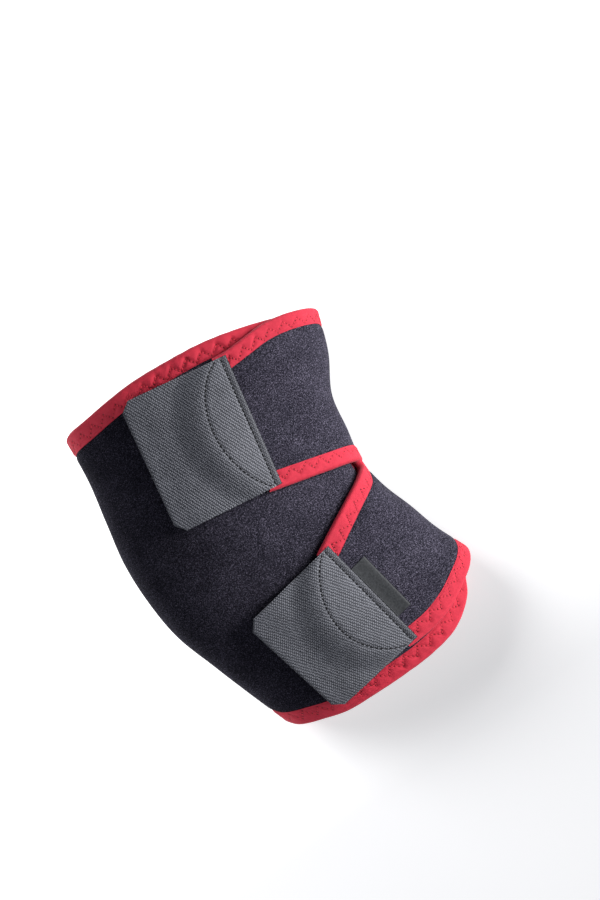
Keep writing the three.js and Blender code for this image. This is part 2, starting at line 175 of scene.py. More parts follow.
def skin(station, turn, out=0.0):
    """Points on the sheet's outer face, or out from it along the face's normal, in millimetres."""
    station, turn, out = np.broadcast_arrays(*(np.asarray(v, float) for v in (station, turn, out)))
    height, corner, half, crown, spread, girth = section(station)
    side = pi / 2 - spread
    lengths = [corner * side, 2 * crown * spread, corner * (side + pi / 2), 2 * half, corner * pi / 2]
    ends = np.cumsum(lengths, axis=0)
    walked = np.mod(turn, 1.0) * girth
    piece = np.minimum((walked > ends).sum(axis=0), 4)
    into = walked - np.choose(piece, [0 * girth, *ends[:4]])
    radius = np.choose(piece, [corner, crown, corner, 0 * corner, corner])
    start = np.choose(piece, [0 * side, side, pi - side, 0 * side + 1.5 * pi, 0 * side + 1.5 * pi])
    across = np.choose(piece, [half, 0 * half, -half, into - half, half])
    rise = np.choose(piece, [corner, height - crown, corner, 0 * corner, corner])
    angle = start + np.where(piece == 3, 0, into / np.where(radius > 0, radius, 1))
    wave = WAVE_HEIGHT * np.clip(np.sin(2 * pi * turn), 0, 1) * (
        0.6 * np.sin(2 * pi * (3 * turn + 0.9 * station) + 0.4)
        + 0.4 * np.sin(2 * pi * (7 * turn - 1.4 * station) + 1.9))
    from_centre = radius + out + wave + LAYER_PITCH * smoothstep(LIFT_STARTS, LIFT_ENDS, turn)
    x = across + from_centre * np.cos(angle)
    tilt = np.radians(along(SECTIONS, "station", "tilt", station))
    centre = along(SECTIONS, "station", "bow", station) * BEND_DEPTH
    return np.stack([centre + x * np.cos(tilt), station * reach(station) + x * np.sin(tilt),
                     rise + from_centre * np.sin(angle)], axis=-1)


def rim_station(side, turn):
    swell, column = (UPPER_RIM_SWELL, "upper") if side > 0 else (FOREARM_RIM_SWELL, "lower")
    folded = np.minimum(np.abs(turn), 1 - turn)
    share = np.where(turn < 1, along(PANEL_RIMS, "turn", column, folded),
                     along(WING_RIMS, "turn", column, turn))
    return side * (1 + share * swell / reach(side))


def notch_station(side, turn):
    """Edge of the notch: a small round end, then a straight cut."""
    angle = NOTCH_UPPER_ANGLE if side > 0 else NOTCH_LOWER_ANGLE
    x = (turn - NOTCH_TURN) * ELBOW_GIRTH
    straight = NOTCH_RADIUS * (1 - sin(angle))
    round_part = np.sqrt(np.maximum(NOTCH_RADIUS**2 - (NOTCH_RADIUS - x) ** 2, 0))
    opened = np.where(x >= straight, NOTCH_RADIUS * cos(angle) + (x - straight) * np.tan(angle),
                      np.where(x > 0, round_part, 0))
    return NOTCH_STATION + side * opened / reach(side)


def sewn_turn(tab, distance):
    return tab["foot_turn"] + (tab["head_turn"] - tab["foot_turn"]) * distance / tab["width"]


def wing_end_turn(side, share):
    tab = UPPER_TAB if side > 0 else LOWER_TAB
    up = share if side > 0 else 1 - share
    past = WING_END_SET + WING_END_BELLY * (1 - (2 * share - 1) ** 2)
    return sewn_turn(tab, up * tab["width"]) + past / girth_at(side / 2)


def pressed_in(side, station, turn):
    """How far the tape presses the sheet's outer face in beside its bound edges."""
    to_rim = np.abs(rim_station(side, turn) - station) * reach(side)
    to_end = (turn - INNER_END) * ELBOW_GIRTH
    before_notch = np.maximum(NOTCH_TURN - turn, 0) * ELBOW_GIRTH
    beside_notch = np.abs(station - notch_station(side, turn)) * reach(side)
    nearest = np.minimum(np.minimum(to_rim, to_end), np.hypot(before_notch, beside_notch))
    return PINCH * (1 - smoothstep(TAPE_LEG - 0.8, TAPE_LEG + 1.7, nearest))


def sheet_places(side):
    """Stations and turns of one half of the sheet, columns round it and rows out to the rim."""
    rows = np.linspace(0, 1, PANEL_ROWS + 1)
    rows = rows - ROWS_GATHERED * np.sin(2 * pi * rows)
    body = np.arange(INNER_END, NOTCH_TURN, PANEL_STEP / ELBOW_GIRTH)
    wing_length = (UPPER_TAB["foot_turn"] - NOTCH_TURN) * ELBOW_GIRTH + WING_END_SET
    wing = np.linspace(0, 1, int(wing_length / PANEL_STEP) + 1) ** 1.15
    body_turns = np.repeat(body[:, None], len(rows), axis=1)
    wing_turns = NOTCH_TURN + wing[:, None] * (wing_end_turn(side, rows)[None, :] - NOTCH_TURN)
    turns = np.vstack([body_turns, wing_turns])
    start, end = notch_station(side, turns), rim_station(side, turns)
    return start + (end - start) * rows[None, :], turns, len(body)


class Solid:
    """Quads of a closed solid, gathered from grids of points; equal corners become one."""

    def __init__(self):
        self.points, self.quads, self.notes, self.count = [], [], [], 0

    def grid(self, points, turned=False, notes=None):
        rows, width = points.shape[:2]
        number = self.count + np.arange(rows * width).reshape(rows, width)
        ring = [number[:-1, :-1], number[1:, :-1], number[1:, 1:], number[:-1, 1:]]
        if turned:
            ring.reverse()
        self.points.append(points.reshape(-1, 3))
        self.notes.append(np.zeros((rows * width, 2)) if notes is None else notes.reshape(-1, 2))
        self.quads.append(np.stack([corner.ravel() for corner in ring], axis=1))
        self.count += rows * width

    def piece(self, name, material, slot):
        points = np.vstack(self.points)
        notes = np.vstack(self.notes)
        quads = np.vstack(self.quads)
        _, first, same = np.unique(np.round(points, 4), axis=0, return_index=True,
                                   return_inverse=True)
        same = same.ravel()
        rings = same[quads]
        mesh = bpy.data.meshes.new(name)
        faces, corners = [], []
        for ring, old in zip(rings.tolist(), quads.tolist()):
            kept = [k for k in range(4) if ring[k] != ring[k - 1]]
            if len(kept) > 2:
                faces.append([ring[k] for k in kept])
                corners.extend(old[k] for k in kept)
        mesh.from_pydata((points[first] * MM).tolist(), [], faces)
        uv = mesh.uv_layers.new(name="fabric")
        uv.data.foreach_set("uv", notes[corners].astype(np.float32).ravel())
        mesh.shade_smooth()
        mesh.materials.append(material)
        made = bpy.data.objects.new(name, mesh)
        bpy.context.collection.objects.link(made)
        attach(made, "root")
        return made


class Finish:
    """A procedural material: nodes are added by kind, with links or values for their inputs."""

    def __init__(self, name, **shader):
        self.material = bpy.data.materials.new(name)
        self.material.use_nodes = True
        self.tree = self.material.node_tree
        self.shader = self.tree.nodes["Principled BSDF"]
        for socket, value in shader.items():
            self.shader.inputs[socket.replace("_", " ")].default_value = value

    def add(self, kind, *links, out=0, **settings):
        node = self.tree.nodes.new("ShaderNode" + kind)
        values = settings.pop("values", {})
        for key, value in settings.items():
            setattr(node, key, value)
        for socket, value in values.items():
            node.inputs[socket].default_value = value
        for k, link in enumerate(links):
            if isinstance(link, (int, float)):
                node.inputs[k].default_value = link
            elif link is not None:
                self.tree.links.new(link, node.inputs[k])
        return node.outputs[out]

    def math(self, operation, *links):
        return self.add("Math", *links, operation=operation)

    def place(self):
        """The piece's own coordinates, in metres."""
        return self.add("TexCoord", out=3)

    def fabric(self):
        """Distances along and across the cloth, in millimetres: as one vector, then each."""
        both = self.add("UVMap", uv_map="fabric")
        return both, *(self.add("SeparateXYZ", both, out=k) for k in (0, 1))

    def noise(self, place, scale, detail=2.0, roughness=0.5):
        return self.add("TexNoise", place, values={"Scale": scale, "Detail": detail,
                                                   "Roughness": roughness})

    def ramp(self, value, *stops):
        made = self.add("ValToRGB", value)
        elements = made.node.color_ramp.elements
        for k, (at, colour) in enumerate(stops):
            element = elements[k] if k < 2 else elements.new(at)
            element.position = at
            element.color = (*colour, 1)
        return made

    def colour(self, link):
        self.tree.links.new(link, self.shader.inputs["Base Color"])

    def bump(self, height, depth, strength):
        made = self.add("Bump", values={"Strength": strength, "Distance": depth})
        self.tree.links.new(height, made.node.inputs["Height"])
        self.tree.links.new(made, self.shader.inputs["Normal"])


pile = Finish("brushed_neoprene", Roughness=0.92, Specular_IOR_Level=0.08,
              Sheen_Roughness=0.5, Sheen_Tint=(0.62, 0.58, 0.78, 1))
loops = pile.noise(pile.place(), PILE_GRAIN, 2.0, 0.6)
flecks = pile.noise(pile.place(), PILE_GRAIN * 2.1, 1.0, 0.5)
clouds = pile.noise(pile.place(), 45.0, 3.0, 0.6)
mixed = pile.math("ADD", pile.math("MULTIPLY", loops, 0.62), pile.math("MULTIPLY", flecks, 0.38))
shade = pile.math("ADD", mixed, pile.math("MULTIPLY", pile.math("SUBTRACT", clouds, 0.5), 0.12))
pile.colour(pile.ramp(shade, (0.38, (0.0015, 0.0015, 0.0035)), (0.68, (0.12, 0.108, 0.148)),
                      (0.5, (0.015, 0.0138, 0.0215)), (0.58, (0.043, 0.039, 0.055))))
pile_nap = pile.add("MapRange", shade, 0.45, 0.66, 0.0, 0.26)
pile.tree.links.new(pile_nap, pile.shader.inputs["Sheen Weight"])
pile.bump(mixed, 0.0006, 0.8)

panel_solid = Solid()
for half_side in (1, -1):
    stations, turns, notch_column = sheet_places(half_side)
    outer = skin(stations, turns, -pressed_in(half_side, stations, turns))
    inner = skin(stations, turns, -NEOPRENE)
    first = half_side > 0
    panel_solid.grid(outer, not first)
    panel_solid.grid(inner, first)
    panel_solid.grid(np.stack([outer[:, -1], inner[:, -1]]), first)
    panel_solid.grid(np.stack([outer[notch_column:, 0], inner[notch_column:, 0]]), not first)
    panel_solid.grid(np.stack([outer[0], inner[0]]), not first)
    panel_solid.grid(np.stack([outer[-1], inner[-1]]), first)
    halfway = skin(stations, turns, -NEOPRENE / 2) * MM
panel = panel_solid.piece("panel", pile.material, "neoprene")
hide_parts("neoprene_panel")

# Red binding
# Soft woven tape, 20 mm wide and folded in half over the cut edges of the sheet. It runs round both
# rims, round the notch and across the hidden inner end, and its stitches pull it into small puffs.
FOLD_ROOM = 0.6
FLAT_LEG_TO = 0.6  # in from the edge, where the tape starts to turn over it
TAPE_STEP = 0.55
ZIGZAG_PERIOD = 9.0
ZIGZAG_MIDDLE = 5.2  # in from the edge
ZIGZAG_SWING = 2.1
HOLE_STEP = ZIGZAG_PERIOD / 6
SEAM_HOLLOW = 1.3  # half the width of the hollow along the seam
PUFF = 0.3
PUFF_ENDS = 1.2  # length over which the puffs fade at the tape's cut edge
PUCKER_DEPTH = 0.45  # where the thread's outer peaks pull the tape in
PUCKER_LENGTH = 1.5
PUCKER_WIDTH = 1.1
DEEPEST_DENT = -0.85
SCALLOP = 0.08  # of the puffs' height, along the fold
TIP_TUCK = 0.4  # how far the tape's cut edge sinks into the sheet
TIP_TUCK_RUN = 1.8
NOTCH_OVERLAP = 11.0  # how far the upper tape runs on past the notch
NOTCH_LAP_FADE = 22.0
TAPE_STARTS_ABOVE = 0.8  # beyond the notch's tip, round its end, where the lower tape starts
NARROWED_RUN = 18.0  # along which the lower tape widens from the notch's tight round end
TAPE_LAP = 0.75  # rise of the upper tape where it lies over the lower
LEAST_PUCKERED = 0.7
PUCKERED_AT = 0.24  # turn at which the rims are most puckered, under the tabs
PUCKERED_SPREAD = 0.09


def zigzag(run):
    """Reach of the zigzag's line in from the edge, at a distance along the tape."""
    share = np.mod(run / ZIGZAG_PERIOD, 1.0)
    return ZIGZAG_MIDDLE + ZIGZAG_SWING * (1 - 4 * np.abs(share - 0.5))


def tape_section():
    """Reach in from the edge and depth below the sheet's face, for the outside and the inside."""
    back = FOLD_ROOM + TAPE
    bottom = TAPE_UNDERSIDE + TAPE
    leg = np.linspace(TAPE_LEG, FLAT_LEG_TO, 17)
    round_turn = np.linspace(0, pi, 11)[1:-1]
    across, down = np.sin(round_turn), (1 - np.cos(round_turn)) / 2
    reaches = np.concatenate([leg, FLAT_LEG_TO - (back + FLAT_LEG_TO) * across, leg[::-2]])
    depths = np.concatenate([0 * leg, bottom * down, 0 * leg[::2] + bottom])
    inner_reaches = np.concatenate([leg, FLAT_LEG_TO - (FOLD_ROOM + FLAT_LEG_TO) * across, leg[::-2]])
    inner_depths = np.concatenate([0 * leg + TAPE, TAPE + (bottom - 2 * TAPE) * down,
                                   0 * leg[::2] + TAPE_UNDERSIDE])
    return reaches, depths, inner_reaches, inner_depths


class Edge:
    """A bound edge as functions of the distance along it: place on the form, and the way in."""

    def __init__(self, station, turn, inward_station, inward_turn, raised=None, narrowed=0.0,
                 most_puckered=1.3):
        points = skin(station, turn)
        steps = np.linalg.norm(np.diff(points, axis=0), axis=1)
        walked = np.concatenate([[0], np.cumsum(steps)])
        self.length = walked[-1]
        self.narrowed = narrowed
        self.most_puckered = most_puckered
        raised = 0 * turn if raised is None else raised
        self.read = lambda run: [np.interp(run, walked, column) for column in
                                 (station, turn, inward_station, inward_turn, raised)]

    def at(self, run, reach_in, out):
        station, turn, way_station, way_turn, raised = self.read(run)
        reach_in = reach_in * (1 - self.narrowed * (1 - smoothstep(0, NARROWED_RUN, run)))
        return skin(station + way_station * reach_in / reach(station),
                    turn + way_turn * reach_in / ELBOW_GIRTH, out + raised)


def closed_sheet(outer, inner, notes):
    """A thin layer as a closed solid, from matching grids of points on its two faces."""
    layer = Solid()
    layer.grid(outer, True, notes)
    layer.grid(inner, False, notes)
    for end, turned in ((0, False), (-1, True)):
        layer.grid(np.stack([outer[:, end], inner[:, end]]), turned, np.stack([notes[:, end]] * 2))
        layer.grid(np.stack([outer[end], inner[end]]), not turned, np.stack([notes[end]] * 2))
    return layer


def folded_tape(edge, name, material):
    reaches, depths, inner_reaches, inner_depths = tape_section()
    runs = np.linspace(0, edge.length, int(edge.length / TAPE_STEP) + 1)[:, None]
    turns = np.mod(edge.read(runs[:, 0])[1], 1.0)[:, None]
    near_tab = np.exp(-(((turns - PUCKERED_AT) / PUCKERED_SPREAD) ** 2))
    puckered = LEAST_PUCKERED + edge.most_puckered * near_tab
    off_line = np.abs(reaches[None, :] - zigzag(runs)) / np.hypot(1, 4 * ZIGZAG_SWING / ZIGZAG_PERIOD)
    puff = 1 - np.exp(-((off_line / SEAM_HOLLOW) ** 2))
    uneven = np.sin(runs * 0.71 + 1.3) * np.sin(runs * 0.43) + np.sin(runs * 0.283 + 0.7)
    slow = 0.85 + 0.33 * uneven
    tip = np.clip((TAPE_LEG - reaches) / PUFF_ENDS, 0, 1)[None, :]
    lift = PUFF * puckered * slow * (puff - 0.35) * tip
    from_peak = ZIGZAG_PERIOD * (np.mod(runs / ZIGZAG_PERIOD + 0.5, 1.0) - 0.5)
    from_row = reaches[None, :] - (ZIGZAG_MIDDLE - ZIGZAG_SWING)
    pulled_in = np.exp(-((from_peak / PUCKER_LENGTH) ** 2) - (from_row / PUCKER_WIDTH) ** 2)
    dents = PUCKER_DEPTH * slow * (puckered - LEAST_PUCKERED) * pulled_in
    dented = np.maximum(lift - dents, DEEPEST_DENT)
    lift = np.maximum(lift, DEEPEST_DENT / 2)
    upper = (depths < TAPE)[None, :]
    lower = (depths > TAPE_UNDERSIDE)[None, :]
    folded = ~(upper | lower)
    scallop = PUFF * puckered * slow * np.cos(2 * pi * runs / ZIGZAG_PERIOD + pi) * SCALLOP
    reach_out = reaches[None, :] - np.where(folded, scallop, 0) \
        * np.sin(pi * np.clip(depths / (TAPE_UNDERSIDE + TAPE), 0, 1))[None, :]
    tucked = TIP_TUCK * smoothstep(TAPE_LEG - TIP_TUCK_RUN, TAPE_LEG, reaches)[None, :]
    outs = -depths[None, :] + np.where(upper, dented - tucked, 0) - np.where(lower, 0.3 * lift, 0)
    outer = edge.at(runs, reach_out, outs)
    inner = edge.at(runs, inner_reaches[None, :], -inner_depths[None, :] + np.where(upper, lift, 0))
    notes = np.stack(np.broadcast_arrays(runs, np.where(lower, 2 * TAPE_LEG - reaches, reaches)), -1)
    return closed_sheet(outer, inner, notes).piece(name, material, "binding")


tape_red = Finish("red_tape", Roughness=0.7, Specular_IOR_Level=0.15, Sheen_Weight=0.1,
                  Sheen_Tint=(1.0, 0.4, 0.45, 1))
run_reach, run, inset = tape_red.fabric()
hole_number = tape_red.math("ROUND", tape_red.math("DIVIDE", run, HOLE_STEP))
hole_run = tape_red.math("MULTIPLY", hole_number, HOLE_STEP)
hole_share = tape_red.math("PINGPONG", tape_red.math("DIVIDE", hole_run, ZIGZAG_PERIOD), 0.5)
hole_reach = tape_red.math("ADD", tape_red.math("MULTIPLY", hole_share, 4 * ZIGZAG_SWING),
                           ZIGZAG_MIDDLE - ZIGZAG_SWING)
gap_run = tape_red.math("SUBTRACT", run, hole_run)
gap_reach = tape_red.math("SUBTRACT", inset, hole_reach)
from_hole = tape_red.math("SQRT", tape_red.math("ADD", tape_red.math("POWER", gap_run, 2),
                                                tape_red.math("POWER", gap_reach, 2)))
hole = tape_red.math("SUBTRACT", 1, tape_red.add("MapRange", from_hole, 0.28, 0.62))
weave = tape_red.math("SINE", tape_red.math("MULTIPLY", tape_red.math("ADD", run, inset), 14))
cross = tape_red.math("SINE", tape_red.math("MULTIPLY", tape_red.math("SUBTRACT", run, inset), 14))
threads = tape_red.math("MULTIPLY", weave, cross)
fuzz = tape_red.noise(tape_red.place(), 700, 2)
broad = tape_red.noise(tape_red.place(), 60, 2)
tone = tape_red.math("ADD", tape_red.math("MULTIPLY", fuzz, 0.45), tape_red.math(
    "MULTIPLY", broad, 0.55))
# Needle holes are painted darker, by a random amount: painted shade in the holes.
hole_shade = tape_red.add("MapRange", tape_red.noise(run_reach, 0.4, 1), 0.35, 0.6, 0.12, 0.62)
tone = tape_red.math("SUBTRACT", tone, tape_red.math("MULTIPLY", hole, hole_shade))
tape_red.colour(tape_red.ramp(tone, (0.05, (0.09, 0.0045, 0.009)), (0.65, (0.41, 0.0185, 0.037)),
                              (0.35, (0.33, 0.0145, 0.03))))
relief = tape_red.math("SUBTRACT", tape_red.math("MULTIPLY", threads, 0.12), hole)
tape_red.bump(relief, 0.0004, 0.6)


def rim_edge(side):
    turns = np.linspace(INNER_END, float(wing_end_turn(side, 1.0)), 1600)
    ones = np.ones_like(turns)
    if side < 0:
        turns = turns[::-1]
    return Edge(rim_station(side, turns), turns, -side * ones, 0 * ones,
                most_puckered=2.3 if side > 0 else 1.3)


def notch_edge(side):
    """The lower tape starts round the end; the upper tape runs on straight over that end."""
    end = float(wing_end_turn(side, 0.0))
    if side < 0:
        above = NOTCH_TURN + np.linspace(1, 0, 60)[:-1] ** 2 * TAPE_STARTS_ABOVE / ELBOW_GIRTH
        below = NOTCH_TURN + np.linspace(0, 1, 600) ** 2 * (end - NOTCH_TURN)
        stations = np.concatenate([notch_station(1, above), notch_station(-1, below)])
        turns = np.concatenate([above, below])
        lean = np.maximum(sin(NOTCH_LOWER_ANGLE), (NOTCH_RADIUS - (turns - NOTCH_TURN)
                                                   * ELBOW_GIRTH) / NOTCH_RADIUS)
        way = np.where(np.arange(len(turns)) < len(above), 1, -1)
        return Edge(stations, turns, way * np.sqrt(1 - lean**2), -lean, narrowed=0.38)
    turns = np.linspace(end, NOTCH_TURN - NOTCH_OVERLAP / ELBOW_GIRTH, 600)
    x = (turns - NOTCH_TURN) * ELBOW_GIRTH
    opened = NOTCH_RADIUS * cos(NOTCH_UPPER_ANGLE) + (
        x - NOTCH_RADIUS * (1 - sin(NOTCH_UPPER_ANGLE))) * np.tan(NOTCH_UPPER_ANGLE)
    raised = TAPE_LAP * smoothstep(NOTCH_LAP_FADE, NOTCH_RADIUS, x)
    return Edge(NOTCH_STATION + opened / UPPER_REACH, turns, cos(NOTCH_UPPER_ANGLE) + 0 * x,
                -sin(NOTCH_UPPER_ANGLE) + 0 * x, raised)


def inner_edge():
    stations = np.linspace(float(rim_station(-1, INNER_END)) + TAPE_LEG / FOREARM_REACH,
                           float(rim_station(1, INNER_END)) - TAPE_LEG / UPPER_REACH, 600)
    return Edge(stations, 0 * stations + INNER_END, 0 * stations, 0 * stations + 1)


bound_edges = {"upper_rim_tape": ("upper_rim_binding", rim_edge(1)),
               "lower_rim_tape": ("lower_rim_binding", rim_edge(-1)),
               "notch_lower_tape": ("crook_notch_binding", notch_edge(-1)),
               "notch_upper_tape": ("crook_notch_binding", notch_edge(1)),
               "inner_edge_tape": ("inner_edge_binding", inner_edge())}
for tape_name, (node_name, edge) in bound_edges.items():
    tape = folded_tape(edge, tape_name, tape_red.material)
    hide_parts(node_name)

# Zigzag seam
# Red polyester thread that holds the tape on, in a three-step zigzag through all layers, seen on the
# tape's outside and inside. Each stitch is a short bead of thread between two needle holes.
ZIGZAG_THREAD = 0.34
STITCH_SHARE = 0.86  # of the way between two holes that the thread shows


def stitch_tree():
    """Instances one thread bead on each point, laid along its stitch and pressed into the cloth."""
    tree = bpy.data.node_groups.new("stitches", "GeometryNodeTree")
    face = tree.interface
    face.new_socket("Geometry", in_out="INPUT", socket_type="NodeSocketGeometry")
    for name, kind, value in (("Thread", "Float", 0.0003), ("Flatness", "Float", 0.7),
                              ("Shown", "Float", 0.85), ("Unevenness", "Float", 0.12),
                              ("Seed", "Int", 3)):
        socket = face.new_socket(name, in_out="INPUT", socket_type="NodeSocket" + kind)
        socket.default_value = value
    face.new_socket("Finish", in_out="INPUT", socket_type="NodeSocketMaterial")
    face.new_socket("Geometry", in_out="OUTPUT", socket_type="NodeSocketGeometry")
    add = lambda kind: tree.nodes.new(kind)
    link = tree.links.new
    given, result = add("NodeGroupInput"), add("NodeGroupOutput")

    def attribute(name, kind):
        node = add("GeometryNodeInputNamedAttribute")
        node.data_type = kind
        node.inputs["Name"].default_value = name
        return node.outputs["Attribute"]

    def calculate(operation, a, b):
        node = add("ShaderNodeMath")
        node.operation = operation
        for socket, value in zip(node.inputs, (a, b)):
            if isinstance(value, (int, float)):
                socket.default_value = value
            else:
                link(value, socket)
        return node.outputs[0]

    along_it = add("FunctionNodeAlignRotationToVector")
    along_it.axis = "X"
    link(attribute("along", "FLOAT_VECTOR"), along_it.inputs["Vector"])
    upright = add("FunctionNodeAlignRotationToVector")
    upright.axis = "Z"
    upright.pivot_axis = "X"
    link(along_it.outputs[0], upright.inputs["Rotation"])
    link(attribute("up", "FLOAT_VECTOR"), upright.inputs["Vector"])

    vary = add("FunctionNodeRandomValue")
    vary.data_type = "FLOAT"
    link(given.outputs["Seed"], vary.inputs["Seed"])
    swing = calculate("MULTIPLY", calculate("SUBTRACT", vary.outputs[1], 0.5),
                      given.outputs["Unevenness"])
    bead_length = calculate("MULTIPLY", calculate("MULTIPLY", attribute("span", "FLOAT"),
                                                  given.outputs["Shown"]), calculate("ADD", swing, 1))
    size = add("ShaderNodeCombineXYZ")
    link(bead_length, size.inputs[0])
    link(calculate("MULTIPLY", given.outputs["Thread"], calculate("ADD", swing, 1)), size.inputs[1])
    link(calculate("MULTIPLY", given.outputs["Thread"], given.outputs["Flatness"]), size.inputs[2])

    bead = add("GeometryNodeMeshUVSphere")
    bead.inputs["Segments"].default_value = 6
    bead.inputs["Rings"].default_value = 6
    bead.inputs["Radius"].default_value = 0.5
    lengthways = add("GeometryNodeTransform")
    lengthways.inputs["Rotation"].default_value = (0, pi / 2, 0)
    link(bead.outputs["Mesh"], lengthways.inputs["Geometry"])

    lay = add("GeometryNodeInstanceOnPoints")
    link(given.outputs["Geometry"], lay.inputs["Points"])
    link(lengthways.outputs[0], lay.inputs["Instance"])
    link(upright.outputs[0], lay.inputs["Rotation"])
    link(size.outputs[0], lay.inputs["Scale"])
    real = add("GeometryNodeRealizeInstances")
    link(lay.outputs[0], real.inputs[0])
    smooth = add("GeometryNodeSetShadeSmooth")
    link(real.outputs[0], smooth.inputs[0])
    painted = add("GeometryNodeSetMaterial")
    link(smooth.outputs[0], painted.inputs["Geometry"])
    link(given.outputs["Finish"], painted.inputs["Material"])
    link(painted.outputs[0], result.inputs[0])
    return tree


stitching = stitch_tree()


def sew(name, rows, slot, finish, **sizes):
    """Makes a seam from rows of needle holes. A row is (holes, normals) in millimetres."""
    middles, ways, ups, spans = [], [], [], []
    for holes, normals in rows:
        way = np.diff(holes, axis=0)
        span = np.linalg.norm(way, axis=1, keepdims=True)
        middles.append((holes[1:] + holes[:-1]) / 2)
        ways.append(way / span)
        ups.append(normals[1:] + normals[:-1])
        spans.append(span * MM)
    mesh = bpy.data.meshes.new(name)
    mesh.from_pydata((np.vstack(middles) * MM).tolist(), [], [])
    for label, kind, field, values in (("along", "FLOAT_VECTOR", "vector", ways),
                                       ("up", "FLOAT_VECTOR", "vector", ups),
                                       ("span", "FLOAT", "value", spans)):
        layer = mesh.attributes.new(label, kind, "POINT")
        layer.data.foreach_set(field, np.vstack(values).astype(np.float32).ravel())
    points = bpy.data.objects.new(name + "_holes", mesh)
    bpy.context.collection.objects.link(points)
    modifier = points.modifiers.new("stitches", "NODES")
    modifier.node_group = stitching
    sockets = {item.name: item.identifier for item in stitching.interface.items_tree
               if item.in_out == "INPUT"}
    modifier[sockets["Finish"]] = finish.material
    for label, value in sizes.items():
        modifier[sockets[label]] = value
    drawn = points.evaluated_get(bpy.context.evaluated_depsgraph_get())
    sewn_mesh = bpy.data.meshes.new_from_object(drawn)
    points.modifiers.remove(modifier)
    bpy.data.objects.remove(points)
    sewn = bpy.data.objects.new(name, sewn_mesh)
    bpy.context.collection.objects.link(sewn)
    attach(sewn, "root")


def twisted_thread(name, dark, light):
    thread = Finish(name, Roughness=0.6, Sheen_Weight=0.03, Specular_IOR_Level=0.2)
    grain = thread.noise(thread.place(), 1500, 2)
    thread.colour(thread.ramp(grain, (0.3, dark), (0.7, light)))
    thread.bump(grain, 0.0002, 0.5)
    return thread


red_thread = twisted_thread("red_thread", (0.36, 0.013, 0.025), (0.62, 0.035, 0.055))
zigzag_rows = []
for _, edge in bound_edges.values():
    hole_runs = np.arange(ZIGZAG_PERIOD / 2, edge.length - 2, HOLE_STEP)
    for face_out, way in ((0.0, 1), (-TAPE_UNDERSIDE - TAPE, -1)):
        holes = edge.at(hole_runs, zigzag(hole_runs), face_out + way * 0.02)
        normals = (edge.at(hole_runs, zigzag(hole_runs), face_out + 1) - holes) * way
        zigzag_rows.append((holes, normals))
sew("zigzag_seam", zigzag_rows, "binding", red_thread, Thread=ZIGZAG_THREAD * MM,
    Shown=STITCH_SHARE)

# Hook tabs
# Two strips of grey hook tape, woven in diagonal ribs, hooks underneath. Each has a folded hem that
# is sewn to its wing's end, and its free corners are cut off.
HOOK_TAPE = 1.4
CLEARANCE = 0.3
TAB_CLIP = 5.0
TAB_SLOPE_GAP = 1.0  # from the D seam to where the tab starts to come down from the wing
TAB_SLOPE = 20.0
TAB_DROP = 3.3  # less than the layer's pitch: the stiff tab bridges the step
TAB_SPRING = 2.2  # and springs up a little at its free end
TAB_SPRING_PAST = 8.0  # beyond the free end, where the spring would level out
TAB_CURL = 0.7  # more of it over the last of the free end
TAB_CURL_RUN = 12.0
TAB_STEP = 0.5
HEM_WIDTH = 3.1
HEM_RISE = 0.1
SEAM_DENT = 0.28
EDGE_ROLL = 0.45
ROLL_RUN = 0.9
RIB_PITCH = 1.4
RIB_HEIGHT = 0.06
RIB_KNOT = 1.1  # length of one float of yarn on a rib
SEAM_FULLNESS = 1.4


def settle(x, y, station, turn):
    """Places on the form under points of the plan, found from near ones in a few steps."""
    nudge = 1e-3
    for _ in range(6):
        at = skin(station, turn)
        by_station = (skin(station + nudge, turn) - at) / nudge
        by_turn = (skin(station, turn + nudge) - at) / nudge
        dx, dy = x - at[..., 0], y - at[..., 1]
        scale = by_station[..., 0] * by_turn[..., 1] - by_station[..., 1] * by_turn[..., 0]
        station = station + (dx * by_turn[..., 1] - dy * by_turn[..., 0]) / scale
        turn = turn + (dy * by_station[..., 0] - dx * by_station[..., 1]) / scale
    return station, turn


def seam_reach(tab, share):
    """How far the D seam stands from the sewn edge, at a share of the tab's width."""
    rise_power = SEAM_FULLNESS * tab["belly_at"]
    fall_power = SEAM_FULLNESS * (1 - tab["belly_at"])
    top = tab["belly_at"] ** rise_power * (1 - tab["belly_at"]) ** fall_power
    bow = np.clip(share, 0, 1) ** rise_power * np.clip(1 - share, 0, 1) ** fall_power / top
    return HEM_WIDTH + (tab["belly"] - HEM_WIDTH) * bow


def tab_point(tab, run, distance, out):
    """Run from the sewn edge to the free end, and distance up it; edges are straight in plan."""
    run, distance, out = np.broadcast_arrays(*(np.asarray(v, float) for v in (run, distance, out)))
    end, up = run / tab["length"], distance / tab["width"]
    station, turn, x, y = 0, 0, 0, 0
    for far in (0, 1):
        for high in (0, 1):
            inset = -tab["head_inset"] if high else tab["foot_inset"]
            at_station = tab["foot"] + (high * tab["width"] + far * (tab["rise"] + inset)) / float(
                reach(tab["foot"]))
            length = tab["length"] + (high - 0.5) * tab["skew"]
            at_turn = sewn_turn(tab, high * tab["width"]) + far * length / girth_at(at_station)
            corner = skin(at_station, at_turn)
            weight = (end if far else 1 - end) * (up if high else 1 - up)
            station = station + weight * at_station
            turn = turn + weight * at_turn
            x = x + weight * corner[0]
            y = y + weight * corner[1]
    station, turn = settle(x, y, station, turn)
    slope_from = seam_reach(tab, distance / tab["width"]) + TAB_SLOPE_GAP
    level_at = tab["length"] + TAB_SPRING_PAST
    spring = TAB_SPRING * smoothstep(slope_from + TAB_SLOPE / 2, level_at, run)
    drop = TAB_DROP * smoothstep(slope_from, slope_from + TAB_SLOPE, run) - spring
    return skin(station, turn, CLEARANCE + out - drop)


